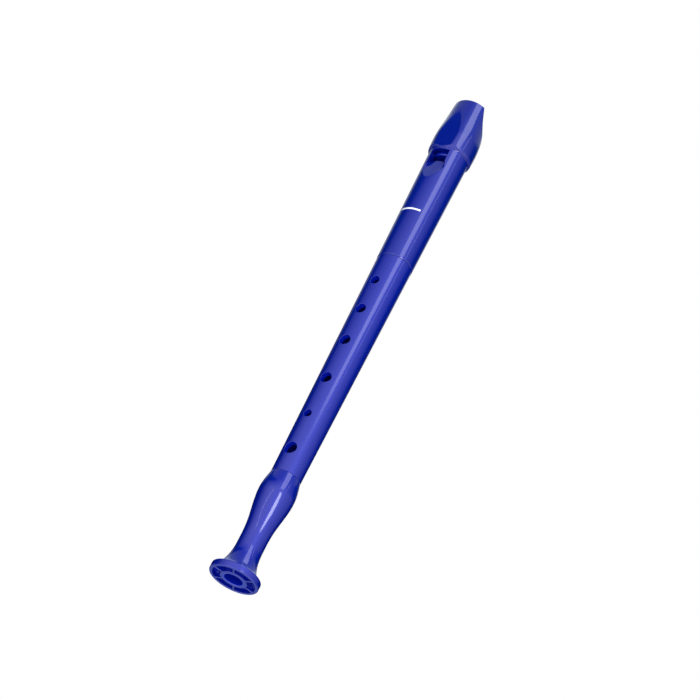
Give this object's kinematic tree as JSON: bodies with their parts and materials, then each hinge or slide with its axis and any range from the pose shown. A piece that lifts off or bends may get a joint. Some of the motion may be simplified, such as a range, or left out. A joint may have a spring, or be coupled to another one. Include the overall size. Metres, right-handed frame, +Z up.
{
  "type": "soprano recorder",
  "caption": "Moulded plastic soprano recorder: beaked head with window and windway block, tapered body with finger holes, and a flanged foot.",
  "frame": {"origin": "centre of the foot's flat end face, on the bore's axis", "axes": "+Z up the bore towards the beak, finger holes and window face -Y, +X to the right seen from the front"},
  "size_m": [0.0268, 0.0268, 0.325],
  "materials": {
    "blue_plastic": "gloss",
    "block_plastic": "satin"
  },
  "bodies": {
    "middle": {"middle_joint": "blue_plastic"},
    "head": {"head_tube": "blue_plastic", "mouthpiece_cap": "blue_plastic", "windway_block": "block_plastic"},
    "foot": {"foot_joint": "blue_plastic"}
  },
  "joints": [
    {"name": "head_slide", "type": "slide", "parent": "middle", "child": "head", "axis": [0, 0, 1], "range_m": [0, 0.022]},
    {"name": "foot_turn", "type": "hinge", "parent": "middle", "child": "foot", "pos_m": [0, 0, 0.0563], "axis": [0, 0, 1], "continuous": true}
  ]
}
